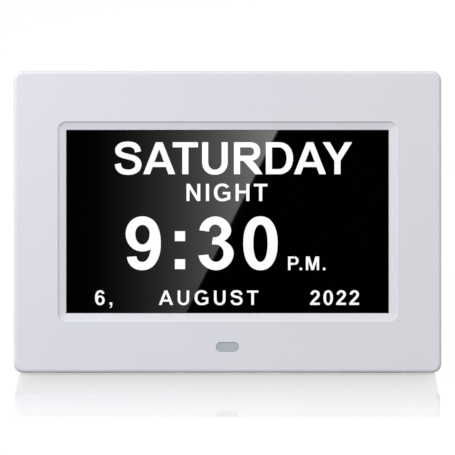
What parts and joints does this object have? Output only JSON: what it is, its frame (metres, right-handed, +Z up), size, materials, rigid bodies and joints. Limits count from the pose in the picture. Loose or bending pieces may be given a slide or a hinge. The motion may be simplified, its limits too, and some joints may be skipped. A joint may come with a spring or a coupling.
{
  "type": "dementia day clock",
  "caption": "Day clock with a wide colour screen in a slim pale case, leaning back on a fold-out leg, with buttons on its back.",
  "frame": {"origin": "on the table, in the middle of the clock's footprint from left to right and from front to back", "axes": "+X to the viewer's right, +Y from the screen to the back, +Z up; the case leans back and the leg is open"},
  "size_m": [0.2048, 0.0558, 0.1459],
  "materials": {
    "case": "satin",
    "buttons": "satin",
    "rubber": "matte",
    "steel": "satin",
    "display_glass": "gloss",
    "display_metal": "satin",
    "light_guide": "satin",
    "ir_tint": "gloss",
    "foam": "matte",
    "circuit_board": "satin",
    "black_plastic": "matte",
    "flex_film": "satin"
  },
  "bodies": {
    "case": {"front_bezel": "case", "back_cover": "case", "ir_window": "ir_tint", "lcd_gasket": "foam", "lcd_frame": "display_metal", "lcd_glass": "display_glass", "lcd_backlight": "light_guide", "lcd_brackets": "steel", "lcd_screws": "steel", "lcd_cable": "flex_film", "main_board": "circuit_board", "cable_connector": "black_plastic", "board_chips": "black_plastic", "key_switches": "black_plastic", "board_screws": "steel", "cell_holder": "black_plastic", "coin_cell": "steel", "ir_board": "circuit_board", "ir_receiver": "black_plastic", "ir_screws": "steel", "speaker": "black_plastic", "dc_jack": "black_plastic", "usb_port": "display_metal", "sd_socket": "display_metal", "case_screws": "steel", "stand_pin": "steel", "base_pads": "rubber"},
    "stand": {"stand_leg": "case", "stand_foot": "rubber"},
    "button_power": {"button_power": "buttons"},
    "button_menu": {"button_menu": "buttons"},
    "button_left": {"button_left": "buttons"},
    "button_right": {"button_right": "buttons"},
    "button_up": {"button_up": "buttons"},
    "button_down": {"button_down": "buttons"},
    "button_exit": {"button_exit": "buttons"}
  },
  "joints": [
    {"name": "stand_hinge", "type": "hinge", "parent": "case", "child": "stand", "pos_m": [0, 0.01141, 0.0843], "axis": [1, 0, 0], "range_deg": [-22, 0]},
    {"name": "press_power", "type": "slide", "parent": "case", "child": "button_power", "axis": [0, -0.9781, 0.2079], "range_m": [0, 0.0005], "stiffness_N_per_m": 500},
    {"name": "press_menu", "type": "slide", "parent": "case", "child": "button_menu", "axis": [0, -0.9781, 0.2079], "range_m": [0, 0.0005], "stiffness_N_per_m": 500},
    {"name": "press_left", "type": "slide", "parent": "case", "child": "button_left", "axis": [0, -0.9781, 0.2079], "range_m": [0, 0.0005], "stiffness_N_per_m": 500},
    {"name": "press_right", "type": "slide", "parent": "case", "child": "button_right", "axis": [0, -0.9781, 0.2079], "range_m": [0, 0.0005], "stiffness_N_per_m": 500},
    {"name": "press_up", "type": "slide", "parent": "case", "child": "button_up", "axis": [0, -0.9781, 0.2079], "range_m": [0, 0.0005], "stiffness_N_per_m": 500},
    {"name": "press_down", "type": "slide", "parent": "case", "child": "button_down", "axis": [0, -0.9781, 0.2079], "range_m": [0, 0.0005], "stiffness_N_per_m": 500},
    {"name": "press_exit", "type": "slide", "parent": "case", "child": "button_exit", "axis": [0, -0.9781, 0.2079], "range_m": [0, 0.0005], "stiffness_N_per_m": 500}
  ]
}
